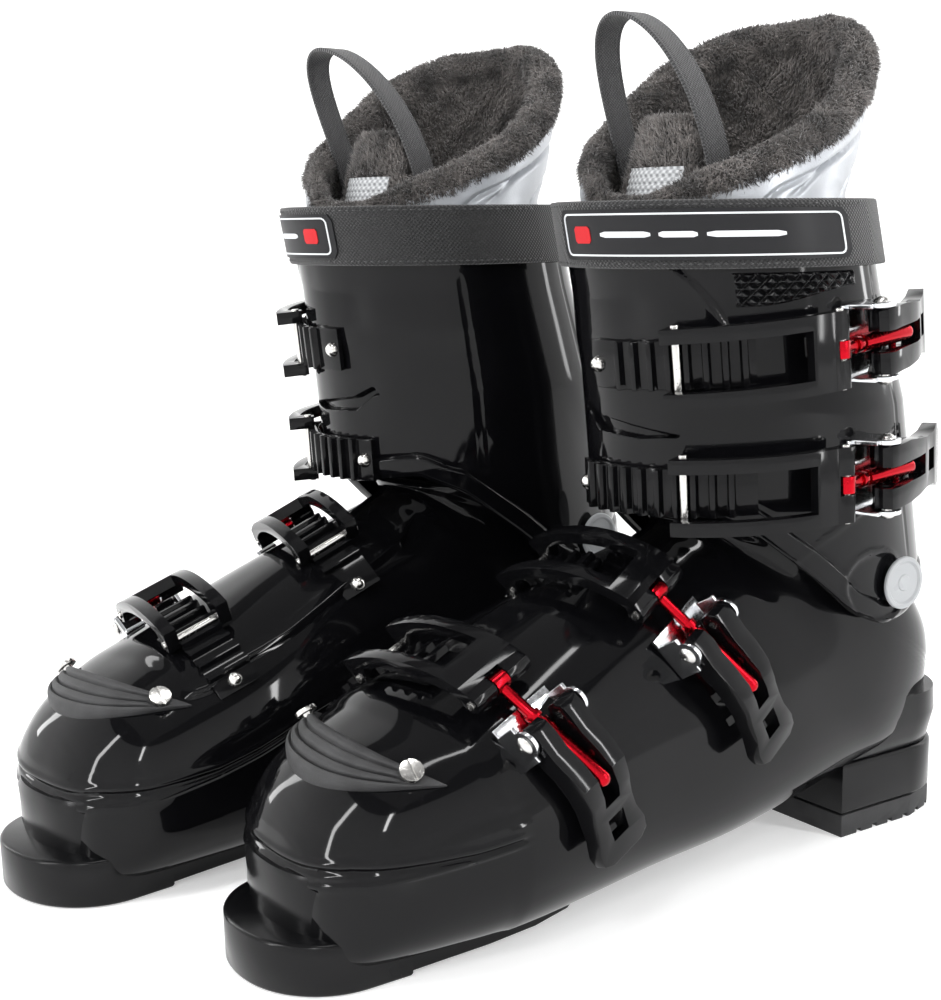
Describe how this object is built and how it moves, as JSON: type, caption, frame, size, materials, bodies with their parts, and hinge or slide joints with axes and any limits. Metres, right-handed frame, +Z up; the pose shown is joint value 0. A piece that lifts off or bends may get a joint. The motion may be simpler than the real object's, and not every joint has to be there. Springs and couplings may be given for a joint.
{
  "type": "ski boots",
  "caption": "Pair of alpine ski boots with hinged cuffs, buckles with levers, rods and catch frames, power straps and fur-trimmed inner boots",
  "frame": {"origin": "on the floor under the middle of the pair's bounding box at rest", "axes": "+Z up, toes towards -Y, +X towards the outer side of the left boot"},
  "size_m": [0.2789, 0.3499, 0.314],
  "materials": {
    "shell": "gloss",
    "cuff": "gloss",
    "rubber_pad": "matte",
    "tread": "matte",
    "board": "matte",
    "pivot_disc": "satin",
    "liner_foot": "soft",
    "liner_shaft": "satin",
    "tongue": "plush",
    "webbing": "woven",
    "strap": "woven",
    "patch": "satin",
    "ladder": "gloss",
    "bracket": "polished",
    "fastener": "polished",
    "lever": "gloss",
    "rod": "anodised red",
    "frame": "gloss"
  },
  "bodies": {
    "left_shell": {"left_lower_shell": "shell", "left_heel_tread": "tread", "left_boot_board": "board", "left_toe_pad": "rubber_pad", "left_cuff_pivots": "pivot_disc", "left_liner_foot": "liner_foot", "left_shell_ladders": "ladder", "left_shell_buckle_bases": "bracket", "left_shell_fasteners": "fastener"},
    "left_cuff": {"left_cuff": "cuff", "left_liner_shaft": "liner_shaft", "left_liner_tongue": "tongue", "left_pull_loop": "webbing", "left_power_strap": "strap", "left_strap_patch": "patch", "left_cuff_ladders": "ladder", "left_cuff_buckle_bases": "bracket", "left_cuff_fasteners": "fastener"},
    "left_toe_lever_body": {"left_toe_lever": "lever"},
    "left_toe_rod_body": {"left_toe_rod": "rod"},
    "left_toe_frame_body": {"left_toe_frame": "frame"},
    "left_instep_lever_body": {"left_instep_lever": "lever"},
    "left_instep_rod_body": {"left_instep_rod": "rod"},
    "left_instep_frame_body": {"left_instep_frame": "frame"},
    "left_lower_cuff_lever_body": {"left_lower_cuff_lever": "lever"},
    "left_lower_cuff_rod_body": {"left_lower_cuff_rod": "rod"},
    "left_lower_cuff_frame_body": {"left_lower_cuff_frame": "frame"},
    "left_upper_cuff_lever_body": {"left_upper_cuff_lever": "lever"},
    "left_upper_cuff_rod_body": {"left_upper_cuff_rod": "rod"},
    "left_upper_cuff_frame_body": {"left_upper_cuff_frame": "frame"},
    "right_shell": {"right_lower_shell": "shell", "right_heel_tread": "tread", "right_boot_board": "board", "right_toe_pad": "rubber_pad", "right_cuff_pivots": "pivot_disc", "right_liner_foot": "liner_foot", "right_shell_ladders": "ladder", "right_shell_buckle_bases": "bracket", "right_shell_fasteners": "fastener"},
    "right_cuff": {"right_cuff": "cuff", "right_liner_shaft": "liner_shaft", "right_liner_tongue": "tongue", "right_pull_loop": "webbing", "right_power_strap": "strap", "right_strap_patch": "patch", "right_cuff_ladders": "ladder", "right_cuff_buckle_bases": "bracket", "right_cuff_fasteners": "fastener"},
    "right_toe_lever_body": {"right_toe_lever": "lever"},
    "right_toe_rod_body": {"right_toe_rod": "rod"},
    "right_toe_frame_body": {"right_toe_frame": "frame"},
    "right_instep_lever_body": {"right_instep_lever": "lever"},
    "right_instep_rod_body": {"right_instep_rod": "rod"},
    "right_instep_frame_body": {"right_instep_frame": "frame"},
    "right_lower_cuff_lever_body": {"right_lower_cuff_lever": "lever"},
    "right_lower_cuff_rod_body": {"right_lower_cuff_rod": "rod"},
    "right_lower_cuff_frame_body": {"right_lower_cuff_frame": "frame"},
    "right_upper_cuff_lever_body": {"right_upper_cuff_lever": "lever"},
    "right_upper_cuff_rod_body": {"right_upper_cuff_rod": "rod"},
    "right_upper_cuff_frame_body": {"right_upper_cuff_frame": "frame"}
  },
  "joints": [
    {"name": "left_cuff_flex", "type": "hinge", "parent": "left_shell", "child": "left_cuff", "pos_m": [0.0699, 0.116, 0.106], "axis": [1, 0, 0], "range_deg": [0, 4.5], "stiffness_Nm_per_rad": 60},
    {"name": "left_toe_lever_hinge", "type": "hinge", "parent": "left_shell", "child": "left_toe_lever_body", "pos_m": [0.12152, -0.04675, 0.08276], "axis": [0.1999, -0.9077, -0.3689], "range_deg": [0, 90]},
    {"name": "left_toe_rod_pivot", "type": "hinge", "parent": "left_toe_lever_body", "child": "left_toe_rod_body", "pos_m": [0.12931, -0.0398, 0.06989], "axis": [0.1999, -0.9077, -0.3689], "range_deg": [-90, 0]},
    {"name": "left_toe_frame_pivot", "type": "hinge", "parent": "left_toe_rod_body", "child": "left_toe_frame_body", "pos_m": [0.10324, -0.05494, 0.09301], "axis": [0.1999, -0.9077, -0.3689], "range_deg": [-27, 0]},
    {"name": "left_instep_lever_hinge", "type": "hinge", "parent": "left_shell", "child": "left_instep_lever_body", "pos_m": [0.11862, 0.02256, 0.10085], "axis": [0.2491, -0.8682, -0.4291], "range_deg": [0, 90]},
    {"name": "left_instep_rod_pivot", "type": "hinge", "parent": "left_instep_lever_body", "child": "left_instep_rod_body", "pos_m": [0.12332, 0.03066, 0.08718], "axis": [0.2491, -0.8682, -0.4291], "range_deg": [-90, 0]},
    {"name": "left_instep_frame_pivot", "type": "hinge", "parent": "left_instep_rod_body", "child": "left_instep_frame_body", "pos_m": [0.1034, 0.01191, 0.11355], "axis": [0.2491, -0.8682, -0.4291], "range_deg": [-27, 0]},
    {"name": "left_lower_cuff_lever_hinge", "type": "hinge", "parent": "left_cuff", "child": "left_lower_cuff_lever_body", "pos_m": [0.13332, 0.09437, 0.14982], "axis": [0, 0.05, -0.9987], "range_deg": [0, 90]},
    {"name": "left_lower_cuff_rod_pivot", "type": "hinge", "parent": "left_lower_cuff_lever_body", "child": "left_lower_cuff_rod_body", "pos_m": [0.12694, 0.10558, 0.15038], "axis": [0, 0.05, -0.9987], "range_deg": [-90, 0]},
    {"name": "left_lower_cuff_frame_pivot", "type": "hinge", "parent": "left_lower_cuff_rod_body", "child": "left_lower_cuff_frame_body", "pos_m": [0.1319, 0.07502, 0.14885], "axis": [0, 0.05, -0.9987], "range_deg": [-27, 0]},
    {"name": "left_upper_cuff_lever_hinge", "type": "hinge", "parent": "left_cuff", "child": "left_upper_cuff_lever_body", "pos_m": [0.13302, 0.0903, 0.19814], "axis": [0, 0.1, -0.995], "range_deg": [0, 90]},
    {"name": "left_upper_cuff_rod_pivot", "type": "hinge", "parent": "left_upper_cuff_lever_body", "child": "left_upper_cuff_rod_body", "pos_m": [0.12676, 0.10154, 0.19927], "axis": [0, 0.1, -0.995], "range_deg": [-90, 0]},
    {"name": "left_upper_cuff_frame_pivot", "type": "hinge", "parent": "left_upper_cuff_rod_body", "child": "left_upper_cuff_frame_body", "pos_m": [0.1314, 0.07104, 0.1962], "axis": [0, 0.1, -0.995], "range_deg": [-27, 0]},
    {"name": "right_cuff_flex", "type": "hinge", "parent": "right_shell", "child": "right_cuff", "pos_m": [-0.0746, 0.07606, 0.106], "axis": [0.9903, 0.1392, 0], "range_deg": [0, 4.5], "stiffness_Nm_per_rad": 60},
    {"name": "right_toe_lever_hinge", "type": "hinge", "parent": "right_shell", "child": "right_toe_lever_body", "pos_m": [-0.10306, -0.09229, 0.08276], "axis": [0.0717, 0.9267, 0.3689], "range_deg": [0, 90]},
    {"name": "right_toe_rod_pivot", "type": "hinge", "parent": "right_toe_lever_body", "child": "right_toe_rod_body", "pos_m": [-0.11175, -0.0865, 0.06989], "axis": [0.0717, 0.9267, 0.3689], "range_deg": [-90, 0]},
    {"name": "right_toe_frame_pivot", "type": "hinge", "parent": "right_toe_rod_body", "child": "right_toe_frame_body", "pos_m": [-0.08382, -0.09787, 0.09301], "axis": [0.0717, 0.9267, 0.3689], "range_deg": [-27, 0]},
    {"name": "right_instep_lever_hinge", "type": "hinge", "parent": "right_shell", "child": "right_instep_lever_body", "pos_m": [-0.10984, -0.02326, 0.10085], "axis": [0.1258, 0.8944, 0.4291], "range_deg": [0, 90]},
    {"name": "right_instep_rod_pivot", "type": "hinge", "parent": "right_instep_lever_body", "child": "right_instep_rod_body", "pos_m": [-0.11563, -0.01589, 0.08718], "axis": [0.1258, 0.8944, 0.4291], "range_deg": [-90, 0]},
    {"name": "right_instep_frame_pivot", "type": "hinge", "parent": "right_instep_rod_body", "child": "right_instep_frame_body", "pos_m": [-0.09328, -0.03168, 0.11355], "axis": [0.1258, 0.8944, 0.4291], "range_deg": [-27, 0]},
    {"name": "right_lower_cuff_lever_hinge", "type": "hinge", "parent": "right_cuff", "child": "right_lower_cuff_lever_body", "pos_m": [-0.13439, 0.04581, 0.14982], "axis": [0.007, -0.0495, 0.9987], "range_deg": [0, 90]},
    {"name": "right_lower_cuff_rod_pivot", "type": "hinge", "parent": "right_lower_cuff_lever_body", "child": "right_lower_cuff_rod_body", "pos_m": [-0.12964, 0.0578, 0.15038], "axis": [0.007, -0.0495, 0.9987], "range_deg": [-90, 0]},
    {"name": "right_lower_cuff_frame_pivot", "type": "hinge", "parent": "right_lower_cuff_rod_body", "child": "right_lower_cuff_frame_body", "pos_m": [-0.13029, 0.02684, 0.14885], "axis": [0.007, -0.0495, 0.9987], "range_deg": [-27, 0]},
    {"name": "right_upper_cuff_lever_hinge", "type": "hinge", "parent": "right_cuff", "child": "right_upper_cuff_lever_body", "pos_m": [-0.13353, 0.04182, 0.19814], "axis": [0.0139, -0.099, 0.995], "range_deg": [0, 90]},
    {"name": "right_upper_cuff_rod_pivot", "type": "hinge", "parent": "right_upper_cuff_lever_body", "child": "right_upper_cuff_rod_body", "pos_m": [-0.1289, 0.05382, 0.19927], "axis": [0.0139, -0.099, 0.995], "range_deg": [-90, 0]},
    {"name": "right_upper_cuff_frame_pivot", "type": "hinge", "parent": "right_upper_cuff_rod_body", "child": "right_upper_cuff_frame_body", "pos_m": [-0.12924, 0.02297, 0.1962], "axis": [0.0139, -0.099, 0.995], "range_deg": [-27, 0]},
    {"name": "boots_apart", "type": "slide", "parent": "left_shell", "child": "right_shell", "axis": [-1, 0, 0], "range_m": [0, 0.15]}
  ],
  "couplings": [
    {"joint": "left_toe_rod_pivot", "follows": "left_toe_lever_hinge", "ratio": -1},
    {"joint": "left_toe_frame_pivot", "follows": "left_toe_lever_hinge", "ratio": -0.3},
    {"joint": "left_instep_rod_pivot", "follows": "left_instep_lever_hinge", "ratio": -1},
    {"joint": "left_instep_frame_pivot", "follows": "left_instep_lever_hinge", "ratio": -0.3},
    {"joint": "left_lower_cuff_rod_pivot", "follows": "left_lower_cuff_lever_hinge", "ratio": -1},
    {"joint": "left_lower_cuff_frame_pivot", "follows": "left_lower_cuff_lever_hinge", "ratio": -0.3},
    {"joint": "left_upper_cuff_rod_pivot", "follows": "left_upper_cuff_lever_hinge", "ratio": -1},
    {"joint": "left_upper_cuff_frame_pivot", "follows": "left_upper_cuff_lever_hinge", "ratio": -0.3},
    {"joint": "right_toe_rod_pivot", "follows": "right_toe_lever_hinge", "ratio": -1},
    {"joint": "right_toe_frame_pivot", "follows": "right_toe_lever_hinge", "ratio": -0.3},
    {"joint": "right_instep_rod_pivot", "follows": "right_instep_lever_hinge", "ratio": -1},
    {"joint": "right_instep_frame_pivot", "follows": "right_instep_lever_hinge", "ratio": -0.3},
    {"joint": "right_lower_cuff_rod_pivot", "follows": "right_lower_cuff_lever_hinge", "ratio": -1},
    {"joint": "right_lower_cuff_frame_pivot", "follows": "right_lower_cuff_lever_hinge", "ratio": -0.3},
    {"joint": "right_upper_cuff_rod_pivot", "follows": "right_upper_cuff_lever_hinge", "ratio": -1},
    {"joint": "right_upper_cuff_frame_pivot", "follows": "right_upper_cuff_lever_hinge", "ratio": -0.3}
  ]
}
